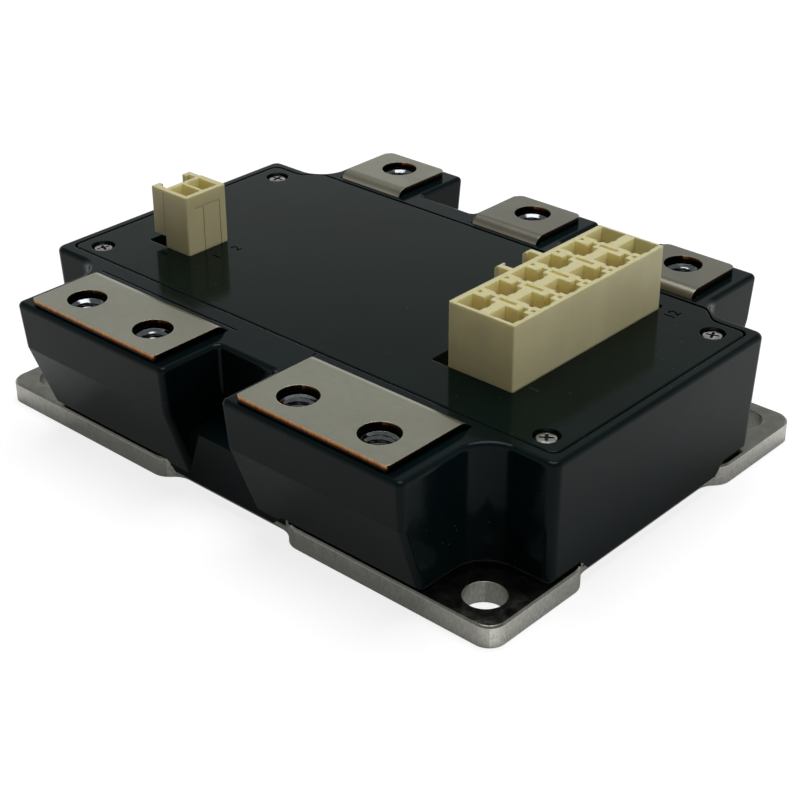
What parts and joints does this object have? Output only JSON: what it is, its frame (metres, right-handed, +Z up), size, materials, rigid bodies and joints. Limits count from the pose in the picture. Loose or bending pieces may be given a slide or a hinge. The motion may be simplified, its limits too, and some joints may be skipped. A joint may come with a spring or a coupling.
{
  "type": "power mosfet module",
  "caption": "Flat power mosfet module: nickel plated base plate, glossy black case with bolted busbar terminals on both long sides and ivory plug headers on the lid.",
  "frame": {"origin": "middle of the base plate's underside, on the cooling face", "axes": "+Z up through the lid, +X along the long side, +Y from the side with the wide terminals to the side with the narrow terminals"},
  "size_m": [0.1226, 0.0998, 0.0396],
  "materials": {
    "nickel_polished": "nickel plated copper, polished",
    "nickel_satin": "nickel plated copper, satin, sheared edges bare",
    "case_black": "glossy moulded thermoset",
    "lid_black": "glossy moulded plastic",
    "screw_steel": "bright plated steel",
    "nut_steel": "bright plated steel",
    "ivory_nylon": "natural ivory nylon, satin",
    "pin_tin": "tin plated brass",
    "board_green": "solder mask",
    "resistor_black": "chip resistor with tinned ends",
    "solder": "dull solder",
    "copper": "bare copper",
    "ceramic_white": "matte ceramic",
    "silicon": "metallised die",
    "aluminium_ribbon": "soft aluminium",
    "thermistor_glaze": "glazed chip",
    "clear_gel": "clear soft silicone",
    "seal_black": "cured silicone adhesive, black"
  },
  "bodies": {
    "root": {"base_plate": "nickel_polished", "case_frame": "case_black", "case_seal": "seal_black", "lid": "lid_black", "lid_screws": "screw_steel", "terminal_front_left": "nickel_satin", "terminal_front_right": "nickel_satin", "terminal_rear_left": "nickel_satin", "terminal_rear_middle": "nickel_satin", "terminal_rear_right": "nickel_satin", "terminal_nuts": "nut_steel", "control_board": "board_green", "board_screws": "screw_steel", "board_resistors": "resistor_black", "signal_header": "ivory_nylon", "signal_pins": "pin_tin", "sense_header": "ivory_nylon", "sense_pins": "pin_tin", "gate_pins": "pin_tin", "substrate_solder": "solder", "substrate_backs": "copper", "substrate_ceramics": "ceramic_white", "substrate_tracks": "copper", "mosfet_dies": "silicon", "diode_dies": "silicon", "bond_ribbons": "aluminium_ribbon", "thermistor": "thermistor_glaze", "silicone_gel": "clear_gel"}
  },
  "joints": []
}
